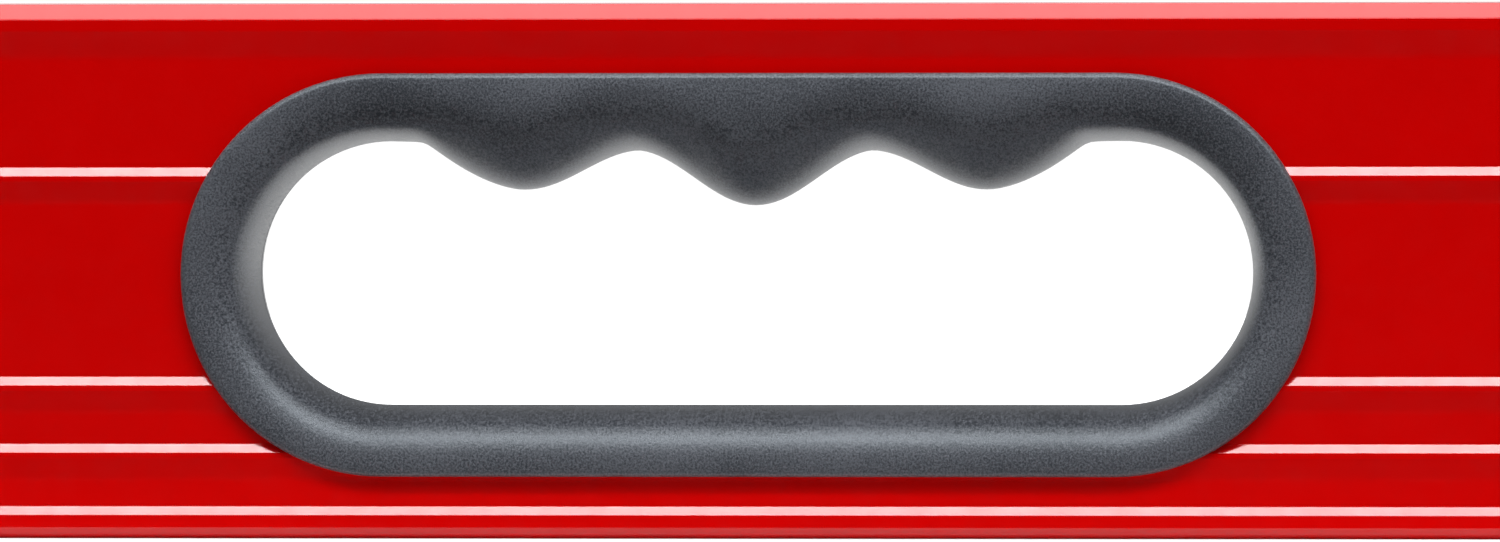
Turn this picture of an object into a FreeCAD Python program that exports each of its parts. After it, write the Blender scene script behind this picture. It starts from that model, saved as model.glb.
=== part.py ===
"""Box-section spirit level: a powder-coated aluminium profile with two hand grips, a horizontal
vial in the middle, a plumb vial near each end, and a pull-off cap on each end.

Frame: X along the level, Y through its thickness with the front face at -Y, Z up.
Origin: middle of the lower measuring face. All sizes in millimetres.
"""
import FreeCAD, Part
import math
import os
import Sketcher
from FreeCAD import Matrix, Placement, Rotation, Vector

DIMENSIONS = {
    # profile
    "level_length": 800.0,
    "profile_length": 788.0,
    "profile_height": 62.0,
    "profile_width": 25.0,
    "edge_chamfer": 1.2,
    "rail_face": 1.5,
    "top_chamfer": 1.75,
    "top_face": 1.35,
    "web_recess": 0.6,
    "rib_rise": 0.6,
    "ledge_height": 1.05,
    "rib_crest": 0.6,
    "rib_slope": 2.4,
    "rail_slope": 3.0,
    "upper_rib_top": 43.1,
    "middle_rib_top": 18.8,
    "lower_rib_top": 11.0,
    "side_wall": 2.0,
    "rail_wall": 3.4,
    # hand grips
    "grip_place": 185.0,
    "grip_centre_height": 30.6,
    "grip_straight": 85.2,
    "grip_outer_radius": 23.4,
    "grip_opening_radius": 15.35,
    "grip_half_depth": 13.5,
    "grip_edge_round": 0.8,
    "grip_band": 3.5,
    "grip_sleeve_radius": 20.6,
    "grip_cutout_radius": 20.9,
    "core_inner_radius": 18.2,
    "core_depth": 9.0,
    "core_pin_radius": 0.8,
    "core_pin_length": 4.0,
    "finger_pitch": 27.3,
    "side_ridge_depth": 5.25,
    "side_ridge_width": 14.8,
    "middle_ridge_depth": 6.12,
    "middle_ridge_width": 14.2,
    "finger_bow": 1.35,
    # vials
    "vial_bore_radius": 5.2,
    "vial_arc_radius": 4000.0,
    "vial_plug_radius": 4.4,
    "vial_plug_length": 3.0,
    "ring_depth": 0.25,
    "ring_width": 0.8,
    "ring_place": 7.0,
    "outer_ring_place": 10.6,
    "bubble_half_length": 6.2,
    "bubble_half_width": 3.9,
    "bubble_half_height": 1.9,
    "bubble_lift": 3.0,
    "bubble_clearance": 0.15,
    "centre_bubble_travel": 9.0,
    "plumb_bubble_travel": 18.0,
    "fluid_level": 0.8,
    # horizontal vial unit
    "centre_notch_half": 32.0,
    "centre_notch_floor": 37.0,
    "centre_notch_corner": 3.0,
    "centre_block_length": 56.0,
    "centre_block_width": 16.0,
    "centre_block_height": 17.0,
    "centre_vial_height": 49.0,
    "centre_bore_length": 50.0,
    "reflector_thickness": 1.0,
    "top_lens_length": 51.6,
    "top_lens_thickness": 2.5,
    "centre_flange_half": 36.5,
    "centre_flange_low": 33.0,
    "centre_flange_high": 57.4,
    "centre_flange_corner": 5.0,
    "centre_window_half": 21.5,
    "centre_window_corner": 2.5,
    "centre_window_below": 5.6,
    "centre_window_above": 5.3,
    "centre_window_bevel": 1.6,
    # plumb vial units
    "plumb_place": 325.0,
    "plumb_flange_radius": 23.4,
    "plumb_hub_radius": 20.6,
    "plumb_cutout_radius": 20.9,
    "plumb_hub_wall": 1.8,
    "plumb_block_width": 16.0,
    "plumb_block_length": 31.0,
    "plumb_bore_length": 25.0,
    "plumb_window_radius": 6.2,
    "plumb_window_straight": 13.6,
    "cradle_wall": 1.2,
    # shared by the carriers
    "carrier_rise": 1.6,
    "carrier_gap": 0.2,
    "window_bevel": 2.4,
    "flange_round": 0.6,
    "fit_gap": 0.05,
    # end caps
    "cap_plate": 2.2,
    "cap_margin": 0.3,
    "cap_corner": 1.4,
    "cap_round": 1.6,
    "tongue_length": 22.0,
    "tongue_gap": 0.2,
    "tongue_wall": 1.8,
    "tongue_slot": 30.0,
    "cap_groove_depth": 1.0,
    "cap_groove_height": 2.0,
    "cap_groove_pitch": 6.0,
    "cap_groove_count": 7,
}

doc = FreeCAD.newDocument("spirit_level")
sheet = doc.addObject("Spreadsheet::Sheet", "dims")
for row, (alias, number) in enumerate(DIMENSIONS.items(), start=1):
    sheet.set(f"A{row}", alias)
    sheet.set(f"B{row}", str(number))
    sheet.setAlias(f"B{row}", alias)
doc.recompute()


class Size:
    """A length that carries both its number and the sheet expression that it comes from."""

    def __init__(self, number, text):
        self.number = number
        self.text = text

    def _join(self, other, sign, number):
        return Size(number, f"({self.text} {sign} {other.text})")

    def __add__(self, other):
        other = plain(other)
        return self._join(other, "+", self.number + other.number)

    def __sub__(self, other):
        other = plain(other)
        return self._join(other, "-", self.number - other.number)

    def __mul__(self, other):
        other = plain(other)
        return self._join(other, "*", self.number * other.number)

    def __truediv__(self, other):
        other = plain(other)
        return self._join(other, "/", self.number / other.number)

    def __neg__(self):
        return Size(-self.number, f"(-{self.text})")

    __radd__ = __add__
    __rmul__ = __mul__


def plain(value):
    """A Size from a Size or a bare number."""
    return value if isinstance(value, Size) else Size(float(value), str(float(value)))


def dim(alias):
    """The Size of one cell of the sheet."""
    return Size(float(sheet.get(alias)), f"dims.{alias}")


NONE = plain(0)

# Places that several sub-parts share
rail_y = dim("profile_width") / 2
web_y = rail_y - dim("web_recess")
rib_y = web_y + dim("rib_rise")
wall_y = web_y - dim("side_wall")
height = dim("profile_height")
profile_end = dim("profile_length") / 2
level_end = dim("level_length") / 2
grip_z = dim("grip_centre_height")
flange_y = web_y + dim("carrier_rise")
SIDES = {"left": -1, "right": 1}
FACES = {"front": -1, "rear": 1}


# ---------------------------------------------------------------- sketch and feature helpers


def bind(feature, **sizes):
    """Ties properties of a feature to the sheet; a double underscore stands for a dot."""
    for name, size in sizes.items():
        path = ("." if "__" in name else "") + name.replace("__", ".")
        feature.setExpression(path, plain(size).text)


def new_body(label):
    body = doc.addObject("PartDesign::Body", label)
    body.Label = label
    return body


def new_sketch(body, role, offset=NONE):
    """A sketch on one of a body's own origin planes, moved along the plane's normal by offset."""
    sketch = body.newObject("Sketcher::SketchObject", body.Name + "_sketch")
    plane = [f for f in body.Origin.OriginFeatures if f.Role == role][0]
    sketch.AttachmentSupport = [(plane, "")]
    sketch.MapMode = "FlatFace"
    bind(sketch, AttachmentOffset__Base__z=offset)
    return sketch


def place_point(sketch, geometry, point, x, y):
    """Fixes one point of a sketch at x, y from the sketch's origin."""
    for kind, size, axis in (("DistanceX", x, -2), ("DistanceY", y, -1)):
        size = plain(size)
        if abs(size.number) < 1e-9:
            sketch.addConstraint(Sketcher.Constraint("PointOnObject", geometry, point, axis))
            continue
        made = sketch.addConstraint(
            Sketcher.Constraint(kind, -1, 1, geometry, point, size.number)
        )
        sketch.setExpression(f"Constraints[{made}]", size.text)


def set_radius(sketch, geometry, radius):
    made = sketch.addConstraint(Sketcher.Constraint("Radius", geometry, radius.number))
    sketch.setExpression(f"Constraints[{made}]", radius.text)


def polygon(sketch, points):
    """A closed outline of straight lines."""
    points = [(plain(x), plain(y)) for x, y in points]
    corners = [Vector(x.number, y.number, 0) for x, y in points]
    first = sketch.GeometryCount
    for start, end in zip(corners, corners[1:] + corners[:1]):
        sketch.addGeometry(Part.LineSegment(start, end))
    for i, (x, y) in enumerate(points):
        before = first + (i - 1) % len(points)
        sketch.addConstraint(Sketcher.Constraint("Coincident", before, 2, first + i, 1))
        place_point(sketch, first + i, 1, x, y)


def rectangle(sketch, x0, x1, y0, y1):
    polygon(sketch, [(x0, y0), (x1, y0), (x1, y1), (x0, y1)])


def circle(sketch, x, y, radius):
    x, y = plain(x), plain(y)
    made = sketch.addGeometry(
        Part.Circle(Vector(x.number, y.number, 0), Vector(0, 0, 1), radius.number)
    )
    place_point(sketch, made, 3, x, y)
    set_radius(sketch, made, radius)


def rounded(sketch, centres, radius):
    """A closed outline of arcs of one radius about centres, joined by tangent lines.
    The centres run anticlockwise, each given as (x, y, start angle, end angle) in degrees."""
    arcs = []
    for x, y, start, end in centres:
        centre = Vector(plain(x).number, plain(y).number, 0)
        whole = Part.Circle(centre, Vector(0, 0, 1), radius.number)
        arc = Part.ArcOfCircle(whole, math.radians(start), math.radians(end))
        arcs.append((sketch.addGeometry(arc), arc, x, y))
    for (this, arc, _, _), (following, next_arc, _, _) in zip(arcs, arcs[1:] + arcs[:1]):
        line = sketch.addGeometry(Part.LineSegment(arc.EndPoint, next_arc.StartPoint))
        sketch.addConstraint(Sketcher.Constraint("Tangent", this, 2, line, 1))
        sketch.addConstraint(Sketcher.Constraint("Tangent", line, 2, following, 1))
    for this, _, x, y in arcs:
        place_point(sketch, this, 3, x, y)
        set_radius(sketch, this, radius)


def stadium(sketch, x, y, straight, radius, upright=False):
    """Two half circles joined by straight sides; straight is the distance between their centres."""
    x, y, half = plain(x), plain(y), straight / 2
    if upright:
        rounded(sketch, [(x, y + half, 0, 180), (x, y - half, 180, 360)], radius)
    else:
        rounded(sketch, [(x - half, y, 90, 270), (x + half, y, 270, 450)], radius)


def rounded_rectangle(sketch, x0, x1, y0, y1, radius):
    corners = [
        (x1 - radius, y1 - radius, 0, 90),
        (x0 + radius, y1 - radius, 90, 180),
        (x0 + radius, y0 + radius, 180, 270),
        (x1 - radius, y0 + radius, 270, 360),
    ]
    rounded(sketch, corners, radius)


def pad(body, sketch, length, face=-1):
    """Adds the sketch's area; on the XZ plane face -1 grows it towards the front, +1 to the rear."""
    feature = body.newObject("PartDesign::Pad", body.Name + "_pad")
    feature.Profile = sketch
    bind(feature, Length=length)
    feature.Reversed = face > 0
    doc.recompute()
    return feature


def pocket(body, sketch, length=None, face=-1):
    """Removes the sketch's area towards the given face, or right through both ways."""
    before = body.Shape.Volume
    feature = body.newObject("PartDesign::Pocket", body.Name + "_pocket")
    feature.Profile = sketch
    if length is None:
        feature.Type = "ThroughAll"
        feature.Midplane = True
    else:
        bind(feature, Length=length)
        feature.Reversed = face < 0
    doc.recompute()
    if body.Shape.Volume > before - 1e-3:
        raise RuntimeError(f"{feature.Name} removed nothing from {body.Label}")
    return feature


def dress(body, kind, size_name, size, wanted):
    """A PartDesign Fillet or Chamfer on the edges of the body that pass the test wanted."""
    edges = [f"Edge{i}" for i, e in enumerate(body.Shape.Edges, start=1) if wanted(e)]
    if not edges:
        raise RuntimeError(f"no edge of {body.Label} to {kind.lower()}")
    base = body.Tip
    feature = body.newObject(f"PartDesign::{kind}", f"{body.Name}_{kind.lower()}")
    feature.Base = (base, edges)
    bind(feature, **{size_name: size})
    doc.recompute()
    return feature


def lies_at_y(edge, y):
    """True if the whole edge lies in the plane at y."""
    box = edge.BoundBox
    return abs(box.YMin - y) < 1e-4 and abs(box.YMax - y) < 1e-4


def boolean(kind, label, base, tool):
    feature = doc.addObject(f"Part::{kind}", label)
    feature.Label = label
    feature.Base = base
    feature.Tool = tool
    feature.Refine = True
    return feature


def block(label, x0, x1, y0, y1, z0, z1):
    """A Part::Box between six places."""
    box = doc.addObject("Part::Box", label)
    box.Label = label
    x0, x1, y0, y1, z0, z1 = (plain(v) for v in (x0, x1, y0, y1, z0, z1))
    bind(box, Length=x1 - x0, Width=y1 - y0, Height=z1 - z0)
    bind(box, Placement__Base__x=x0, Placement__Base__y=y0, Placement__Base__z=z0)
    return box


class Vial:
    """Where a vial's bore runs: its middle, its length and its long direction, +X or +Z.
    up is the direction the bubble rises in when the level lies on its base."""

    def __init__(self, name, x, z, bore_length, block_length, along):
        self.name = name
        self.x = plain(x)
        self.z = plain(z)
        self.bore_length = bore_length
        self.block_length = block_length
        self.along = along
        self.turn = Rotation(Vector(0, 1, 0), 90) if along == "x" else Rotation()

    def rod(self, label, start, length, radius):
        """A Part::Cylinder on the bore's axis that starts at start, measured from the middle."""
        rod = doc.addObject("Part::Cylinder", label)
        rod.Label = label
        bind(rod, Radius=radius, Height=length)
        rod.Placement = Placement(Vector(), self.turn)
        x = self.x + start if self.along == "x" else self.x
        z = self.z if self.along == "x" else self.z + start
        bind(rod, Placement__Base__x=x, Placement__Base__z=z)
        return rod


# ---------------------------------------------------------------- aluminium profile


def rib_points(top):
    """One rib, from its lower foot to its upper foot, as (outward y, z): a long slope below
    the crest and a short ledge above it."""
    crest_high = top - dim("ledge_height")
    crest_low = crest_high - dim("rib_crest")
    foot = crest_low - dim("rib_slope")
    return [(web_y, foot), (rib_y, crest_low), (rib_y, crest_high), (web_y, top)]


def profile_side():
    """The outer outline of one side, from the lower face to the upper face."""
    chamfer, face = dim("edge_chamfer"), dim("rail_face")
    low = [(rail_y - chamfer, NONE), (rail_y, chamfer), (rail_y, chamfer + face)]
    low.append((web_y, chamfer + face + dim("ledge_height")))
    ribs = []
    for name in ("lower_rib_top", "middle_rib_top", "upper_rib_top"):
        ribs += rib_points(dim(name))
    chamfer, face = dim("top_chamfer"), dim("top_face")
    high = [(web_y, height - chamfer - face - dim("rail_slope"))]
    high += [(rail_y, height - chamfer - face), (rail_y, height - chamfer)]
    high.append((rail_y - chamfer, height))
    return low + ribs + high


def make_profile():
    body = new_body("frame_profile")
    section = new_sketch(body, "YZ_Plane")
    side = profile_side()
    polygon(section, side + [(-y, z) for y, z in reversed(side)])
    rail_wall = dim("rail_wall")
    rectangle(section, -wall_y, wall_y, rail_wall, height - rail_wall)
    bar = pad(body, section, dim("profile_length"))
    bar.Midplane = True

    openings = new_sketch(body, "XZ_Plane")
    for sign in SIDES.values():
        stadium(
            openings,
            dim("grip_place") * sign,
            grip_z,
            dim("grip_straight"),
            dim("grip_cutout_radius"),
        )
        circle(openings, dim("plumb_place") * sign, grip_z, dim("plumb_cutout_radius"))
    pocket(body, openings)

    notch = new_sketch(body, "XZ_Plane")
    half, corner = dim("centre_notch_half"), dim("centre_notch_corner")
    floor = dim("centre_notch_floor")
    rounded_rectangle(notch, -half, half, floor, height + corner * 2, corner)
    pocket(body, notch)
    return body


# ---------------------------------------------------------------- hand grips


def pin_places(x):
    """Where the six pins stand that hold the two halves of a grip together."""
    radius = (dim("core_inner_radius") + dim("grip_sleeve_radius")) / 2
    half = dim("grip_straight") / 2
    places = [(x + half * side, grip_z + radius * up) for side in (-1, 1) for up in (-1, 1)]
    return places + [(x + (half + radius) * side, grip_z) for side in (-1, 1)]


def make_grip_core(side, face):
    """The stiff sleeve inside one half of a grip. The front one has pins, the rear one sockets."""
    body = new_body(f"grip_{side}_{face}_core")
    x = dim("grip_place") * SIDES[side]
    sleeve = new_sketch(body, "XZ_Plane")
    for radius in ("grip_sleeve_radius", "core_inner_radius"):
        stadium(sleeve, x, grip_z, dim("grip_straight"), dim(radius))
    pad(body, sleeve, dim("core_depth"), FACES[face])
    pins = new_sketch(body, "XZ_Plane")
    gap = NONE if face == "front" else dim("fit_gap")
    for pin_x, pin_z in pin_places(x):
        circle(pins, pin_x, pin_z, dim("core_pin_radius") + gap)
    if face == "front":
        pad(body, pins, dim("core_pin_length"), FACES["rear"])
    else:
        pocket(body, pins, dim("core_pin_length") + gap * 4, FACES["rear"])
    return body


def opening_edge(x):
    """Height of the upper edge of the hand opening above its centre line, x from its middle:
    an arch between the end arcs with three ridges that part the fingers."""

    def swell(distance, reach):
        share = min(1.0, abs(distance) / reach)
        return math.cos(math.pi * share / 2) ** 2

    value = {name: dim(name).number for name in DIMENSIONS}
    edge = value["grip_opening_radius"]
    edge -= value["finger_bow"] * swell(x, value["grip_straight"] / 2)
    edge -= value["middle_ridge_depth"] * swell(x, value["middle_ridge_width"])
    for place in (-value["finger_pitch"], value["finger_pitch"]):
        edge -= value["side_ridge_depth"] * swell(x - place, value["side_ridge_width"])
    return edge


def grip_section(inner):
    """The half-grip's cross-section as a face in the plane x = 0, for an opening edge at height
    inner: a quarter ellipse from the opening to the flat band, then a small round to the
    outer wall."""
    outer = dim("grip_outer_radius").number
    depth = dim("grip_half_depth").number
    edge = dim("grip_edge_round").number
    crown = outer - dim("grip_band").number
    flat = outer - edge
    quarter = Part.Arc(
        Vector(1, 0, 0), Vector(math.sqrt(0.5), math.sqrt(0.5), 0), Vector(0, 1, 0)
    ).toShape()
    stretch = Matrix(
        0, 0, 0, 0,
        0, -depth, 0, 0,
        inner - crown, 0, 0, crown,
        0, 0, 0, 1,
    )
    # The plane z = 0 of the quarter circle has to keep a direction of its own.
    stretch.A13 = 1.0
    curve = quarter.transformGeometry(stretch)
    half = math.sqrt(0.5) * edge
    band = Part.LineSegment(Vector(0, -depth, crown), Vector(0, -depth, flat)).toShape()
    corner = Part.Arc(
        Vector(0, -depth, flat),
        Vector(0, -depth + edge - half, flat + half),
        Vector(0, -depth + edge, outer),
    ).toShape()
    wall = Part.LineSegment(Vector(0, -depth + edge, outer), Vector(0, 0, outer)).toShape()
    parting = Part.LineSegment(Vector(0, 0, outer), Vector(0, 0, inner)).toShape()
    return Part.Wire([curve, band, corner, wall, parting])


def stadium_prism(radius, depth):
    """A stadium-shaped block about the grip's middle, from the parting plane to the front."""
    half = dim("grip_straight").number / 2
    bar = Part.makeBox(
        2 * half, depth, 2 * radius, Vector(-half, -depth, -radius)
    )
    ends = [
        Part.makeCylinder(radius, depth, Vector(place, -depth, 0), Vector(0, 1, 0))
        for place in (-half, half)
    ]
    return bar.fuse(ends).removeSplitter()


FINGER_SECTIONS = 33


def front_grip_skin():
    """The soft skin of a grip's front half, about the grip's middle."""
    half = dim("grip_straight").number / 2
    plain_edge = dim("grip_opening_radius").number
    steps = [half * (2 * i / (FINGER_SECTIONS - 1) - 1) for i in range(FINGER_SECTIONS)]
    sections = []
    for x in steps:
        section = grip_section(opening_edge(x))
        section.translate(Vector(x, 0, 0))
        sections.append(section)
    fingers = Part.makeLoft(sections, True, False)

    base = Part.Face(grip_section(plain_edge))
    upside_down = base.mirror(Vector(), Vector(0, 0, 1))
    upside_down.translate(Vector(-half, 0, 0))
    lower = upside_down.extrude(Vector(2 * half, 0, 0))
    ends = []
    for place, turn in ((-half, -180), (half, 180)):
        start = base.copy()
        start.translate(Vector(place, 0, 0))
        ends.append(start.revolve(Vector(place, 0, 0), Vector(0, 1, 0), turn))
    whole = fingers.fuse([lower] + ends)

    reach = web_y.number
    sleeve = stadium_prism(dim("grip_sleeve_radius").number, reach)
    around = stadium_prism(dim("grip_outer_radius").number + 5, reach).cut(sleeve)
    core = stadium_prism(
        dim("grip_sleeve_radius").number, dim("core_depth").number
    ).cut(stadium_prism(dim("core_inner_radius").number, dim("core_depth").number))
    return whole.cut([around, core])


def make_grip_skin(skin, profile, side, face):
    """One skin: the front skin, turned to its face, put in its place and notched over the ribs."""
    shape = skin if face == "front" else skin.mirror(Vector(), Vector(0, 1, 0))
    place = Vector(dim("grip_place").number * SIDES[side], 0, grip_z.number)
    shape = shape.copy()
    shape.translate(place)
    moulded = doc.addObject("Part::Feature", f"grip_{side}_{face}_moulding")
    moulded.Shape = shape
    return boolean("Cut", f"grip_{side}_{face}_skin", moulded, profile)


# ---------------------------------------------------------------- vials


def make_bore(vial):
    """The barrel-shaped space inside a vial, slightly wider in the middle."""
    sketch = doc.addObject("Sketcher::SketchObject", vial.name + "_bore_outline")
    half = vial.bore_length / 2
    middle = dim("vial_bore_radius").number
    arc_radius = dim("vial_arc_radius").number
    end = arc_radius * math.cos(math.asin(half.number / arc_radius)) - arc_radius + middle
    # In the sketch, x is the bore's radius and y runs along its axis.
    corners = [
        Vector(0, -half.number, 0),
        Vector(end, -half.number, 0),
        Vector(end, half.number, 0),
        Vector(0, half.number, 0),
    ]
    for start, finish in ((0, 1), (2, 3), (3, 0)):
        sketch.addGeometry(Part.LineSegment(corners[start], corners[finish]))
    circle_middle = Vector(middle - arc_radius, 0, 0)
    swing = math.asin(half.number / arc_radius)
    whole = Part.Circle(circle_middle, Vector(0, 0, 1), arc_radius)
    wall = sketch.addGeometry(Part.ArcOfCircle(whole, -swing, swing))
    for joint in ((0, 2, wall, 1), (wall, 2, 1, 1), (1, 2, 2, 1), (2, 2, 0, 1)):
        sketch.addConstraint(Sketcher.Constraint("Coincident", *joint))
    place_point(sketch, 0, 1, NONE, -half)
    place_point(sketch, 1, 2, NONE, half)
    sketch.addConstraint(Sketcher.Constraint("Horizontal", 0))
    sketch.addConstraint(Sketcher.Constraint("Horizontal", 1))
    place_point(sketch, wall, 3, dim("vial_bore_radius") - dim("vial_arc_radius"), NONE)
    set_radius(sketch, wall, dim("vial_arc_radius"))
    bore = doc.addObject("Part::Revolution", vial.name + "_bore")
    bore.Source = sketch
    bore.Axis = Vector(0, 1, 0)
    bore.Base = Vector()
    bore.Angle = 360
    bore.Solid = True
    tilt = Rotation(Vector(0, 0, 1), -90) if vial.along == "x" else Rotation(Vector(1, 0, 0), 90)
    bore.Placement = Placement(Vector(), tilt)
    bind(bore, Placement__Base__x=vial.x, Placement__Base__z=vial.z)
    return bore


def ring_starts(vial):
    """Where each graduation ring starts along the bore, from its middle."""
    names = ("outer_ring_place", "ring_place") if vial.along == "x" else ("ring_place",)
    width = dim("ring_width")
    return [dim(n) * sign - width / 2 for n in names for sign in (-1, 1)]


def compound(label, pieces):
    group = doc.addObject("Part::Compound", label)
    group.Label = label
    group.Links = pieces
    return group


def make_rings(vial):
    """The black graduation rings, one group of separate rings in the bore's wall."""
    rings = []
    outer_radius = dim("vial_bore_radius") + dim("ring_depth")
    for i, start in enumerate(ring_starts(vial)):
        name = f"{vial.name}_ring_{i}"
        outer = vial.rod(name + "_outer", start, dim("ring_width"), outer_radius)
        inner = vial.rod(name + "_inner", start, dim("ring_width"), dim("vial_bore_radius"))
        rings.append(boolean("Cut", name, outer, inner))
    return compound(vial.name + "_rings", rings)


def make_block(vial, blank, bore):
    """The clear block with its barrel bore, ring grooves and filling hole."""
    outer_radius = dim("vial_bore_radius") + dim("ring_depth")
    tools = [bore]
    for i, start in enumerate(ring_starts(vial)):
        name = f"{vial.name}_groove_{i}"
        tools.append(vial.rod(name, start, dim("ring_width"), outer_radius))
    half = vial.bore_length / 2
    tools.append(
        vial.rod(
            vial.name + "_filling_hole", half, dim("vial_plug_length"), dim("vial_plug_radius")
        )
    )
    gathered = doc.addObject("Part::MultiFuse", vial.name + "_hollow")
    gathered.Shapes = tools
    return boolean("Cut", vial.name + "_block", blank, gathered)


def make_plug(vial):
    half = vial.bore_length / 2
    return vial.rod(
        vial.name + "_plug", half, dim("vial_plug_length"), dim("vial_plug_radius")
    )


def make_bubble(vial, rest):
    """The air bubble, pressed flat against the upper wall of its bore, at its rest place."""
    body = doc.addObject("Part::Ellipsoid", vial.name + "_bubble_oval")
    lengthwise, sideways = dim("bubble_half_length"), dim("bubble_half_width")
    thick = dim("bubble_half_height")
    clear = dim("vial_bore_radius") - dim("bubble_clearance")
    body.Angle1, body.Angle2, body.Angle3 = -90, 90, 360
    reach = lengthwise + dim("bubble_clearance")
    if vial.along == "x":
        bind(body, Radius1=thick, Radius2=lengthwise, Radius3=sideways)
        bind(body, Placement__Base__x=vial.x, Placement__Base__z=vial.z + dim("bubble_lift"))
        limit = vial.rod(vial.name + "_bubble_limit", -reach, reach * 2, clear)
    else:
        # On its end, the tube holds a round bubble across the middle of its bore.
        bind(body, Radius1=thick, Radius2=sideways, Radius3=sideways)
        bind(body, Placement__Base__x=vial.x, Placement__Base__z=vial.z + rest)
        limit = vial.rod(vial.name + "_bubble_limit", rest - reach, reach * 2, clear)
    return boolean("Common", vial.name + "_bubble", body, limit)


def make_fluid(vial, bore_copy, reach_low, reach_high, rest):
    """The liquid, open where the bubble travels."""
    clear = dim("bubble_clearance")
    if vial.along == "x":
        radius = dim("vial_bore_radius") * 2
        space = block(
            vial.name + "_bubble_space",
            reach_low, reach_high, -radius, radius,
            vial.z + dim("fluid_level"), vial.z + radius,
        )
    else:
        space = vial.rod(
            vial.name + "_bubble_space",
            reach_low, reach_high - reach_low, dim("bubble_half_width") + clear,
        )
    return boolean("Cut", vial.name + "_fluid", bore_copy, space)


# ---------------------------------------------------------------- horizontal vial unit


def centre_vial():
    return Vial(
        "centre_vial", 0, dim("centre_vial_height"),
        dim("centre_bore_length"), dim("centre_block_length"), "x",
    )


def make_centre_vial():
    vial = centre_vial()
    half_length = vial.block_length / 2
    half_width = dim("centre_block_width") / 2
    half_height = dim("centre_block_height") / 2
    blank = block(
        "centre_vial_blank", -half_length, half_length, -half_width, half_width,
        vial.z - half_height, vial.z + half_height,
    )
    under = vial.z - half_height
    reach = dim("centre_bubble_travel") + dim("bubble_half_length") + dim("bubble_clearance")
    return [
        make_block(vial, blank, make_bore(vial)),
        make_rings(vial),
        make_plug(vial),
        make_bubble(vial, NONE),
        make_fluid(vial, make_bore(vial), -reach, reach, NONE),
        block(
            "centre_vial_reflector", -half_length, half_length, -half_width, half_width,
            under - dim("reflector_thickness"), under,
        ),
        block(
            "centre_top_lens", -dim("top_lens_length") / 2, dim("top_lens_length") / 2,
            -half_width, half_width,
            vial.z + half_height, vial.z + half_height + dim("top_lens_thickness"),
        ),
    ]


def make_centre_carrier(face):
    """One half of the bezel that holds the horizontal vial in the profile's notch."""
    way = FACES[face]
    body = new_body(f"centre_carrier_{face}_bezel")
    vial = centre_vial()
    gap, fit = dim("carrier_gap"), dim("fit_gap")
    half = dim("centre_notch_half") - gap
    low, high = dim("centre_notch_floor") + gap, height - gap * 2

    flange = new_sketch(body, "XZ_Plane", -web_y * way)
    flange_half = dim("centre_flange_half")
    rounded_rectangle(
        flange, -flange_half, flange_half, dim("centre_flange_low"),
        dim("centre_flange_high"), dim("centre_flange_corner"),
    )
    pad(body, flange, dim("carrier_rise"), way)
    front = flange_y.number * way
    dress(body, "Fillet", "Radius", dim("flange_round"), lambda e: lies_at_y(e, front))

    filling = new_sketch(body, "XZ_Plane")
    corner = dim("centre_notch_corner")
    rounded_rectangle(filling, -half, half, low, high, corner - gap)
    pad(body, filling, rail_y - fit * 2, way)

    seat = new_sketch(body, "XZ_Plane")
    block_half = vial.block_length / 2 + fit
    half_height = dim("centre_block_height") / 2
    seat_low = vial.z - half_height - dim("reflector_thickness") - fit
    rectangle(seat, -block_half, block_half, seat_low, vial.z + half_height + fit)
    pocket(body, seat, dim("centre_block_width") / 2 + fit, way)

    skylight = new_sketch(body, "XZ_Plane")
    lens_half = dim("top_lens_length") / 2 + fit
    rectangle(skylight, -lens_half, lens_half, vial.z, height + gap)
    pocket(body, skylight, dim("centre_block_width") / 2 + fit, way)

    window = new_sketch(body, "XZ_Plane")
    window_half = dim("centre_window_half")
    rounded_rectangle(
        window, -window_half, window_half, vial.z - dim("centre_window_below"),
        vial.z + dim("centre_window_above"), dim("centre_window_corner"),
    )
    pocket(body, window, flange_y + gap, way)

    reach = window_half.number + 0.01

    def window_rim(edge):
        box = edge.BoundBox
        return lies_at_y(edge, front) and max(abs(box.XMin), abs(box.XMax)) < reach

    dress(body, "Chamfer", "Size", dim("centre_window_bevel"), window_rim)
    return body


# ---------------------------------------------------------------- plumb vial units


def plumb_vial(side):
    return Vial(
        f"plumb_{side}_vial", dim("plumb_place") * SIDES[side], grip_z,
        dim("plumb_bore_length"), dim("plumb_block_length"), "z",
    )


def make_plumb_vial(side):
    vial = plumb_vial(side)
    half_width = dim("plumb_block_width") / 2
    half_length = vial.block_length / 2
    blank = block(
        vial.name + "_blank", vial.x - half_width, vial.x + half_width, -half_width, half_width,
        vial.z - half_length, vial.z + half_length,
    )
    top = vial.bore_length / 2
    clear = dim("bubble_clearance")
    rest = top - dim("bubble_half_height") - clear
    low = rest - dim("plumb_bubble_travel") - dim("bubble_half_height") - clear
    return [
        make_block(vial, blank, make_bore(vial)),
        make_rings(vial),
        make_plug(vial),
        make_bubble(vial, rest),
        make_fluid(vial, make_bore(vial), low, top + clear, rest),
    ]


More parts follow.
